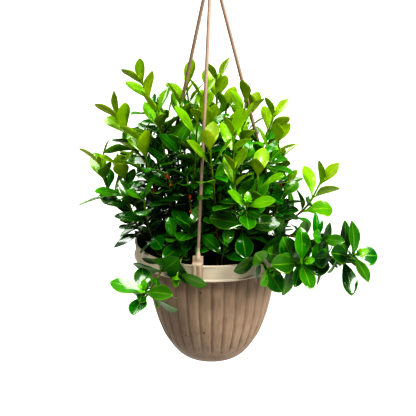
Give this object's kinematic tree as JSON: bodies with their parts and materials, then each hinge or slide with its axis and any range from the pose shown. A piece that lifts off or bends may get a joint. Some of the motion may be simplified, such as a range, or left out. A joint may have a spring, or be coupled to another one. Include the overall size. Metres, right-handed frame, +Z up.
{
  "type": "goldfish plant hanging basket",
  "caption": "Bushy goldfish plant with small glossy paired leaves, growing and trailing from a fluted hanging pot with a strand hanger and hook.",
  "frame": {"origin": "centre of the pot's flat foot, on its underside", "axes": "+Z up along the pot's axis towards the hook, -Y towards the front of the plant, +X to the right seen from the front"},
  "size_m": [0.2867, 0.2397, 0.437],
  "materials": {
    "pot_taupe": "satin moulded plastic",
    "hanger_plastic": "satin moulded plastic",
    "soil_peat": "dark crumbly peat",
    "leaf_young": "satin yellow-green young leaf",
    "leaf_bright": "glossy bright green leaf",
    "leaf_dark": "glossy dark green leaf"
  },
  "bodies": {
    "root": {"pot": "pot_taupe", "hanger": "hanger_plastic", "soil": "soil_peat", "stem_left_top": "leaf_young", "stem_left_upper": "leaf_young", "stem_left_big": "leaf_young", "stem_left_middle": "leaf_young", "stem_left_far": "leaf_young", "stem_left_low": "leaf_young", "stem_left_olive": "leaf_dark", "stem_left_dark": "leaf_dark", "stem_crown_left": "leaf_young", "stem_crown_fork": "leaf_young", "stem_crown_front": "leaf_young", "stem_crown_strand": "leaf_young", "stem_crown_back": "leaf_young", "stem_crown_right": "leaf_young", "stem_front_left": "leaf_young", "stem_front_tall": "leaf_young", "stem_front_right": "leaf_young", "stem_front_short": "leaf_young", "stem_middle_left": "leaf_dark", "stem_middle_front": "leaf_dark", "stem_middle_tall": "leaf_young", "stem_middle_near": "leaf_dark", "stem_middle_core": "leaf_young", "stem_right_top": "leaf_young", "stem_right_upper": "leaf_young", "stem_right_front": "leaf_young", "stem_right_inner": "leaf_dark", "stem_right_glossy": "leaf_dark", "stem_right_side": "leaf_dark", "stem_right_far": "leaf_young", "stem_right_bud": "leaf_young", "stem_rosette": "leaf_bright", "stem_low_front": "leaf_dark", "stem_low_strand": "leaf_dark", "stem_low_middle": "leaf_dark", "stem_low_left": "leaf_dark", "stem_low_drooping": "leaf_dark", "stem_low_side": "leaf_dark", "trailing_right_long": "leaf_bright", "trailing_right_middle": "leaf_dark", "trailing_right_short": "leaf_bright", "trailing_right_low": "leaf_dark", "trailing_left_long": "leaf_bright", "trailing_left_short": "leaf_bright", "stem_back_left": "leaf_young", "stem_back_right": "leaf_young", "stem_back_left_side": "leaf_young", "stem_back_right_side": "leaf_young", "stem_back_tall": "leaf_young", "stem_back_middle": "leaf_young", "stem_back_low_left": "leaf_dark", "stem_back_low_right": "leaf_dark", "trailing_back": "leaf_bright"}
  },
  "joints": []
}
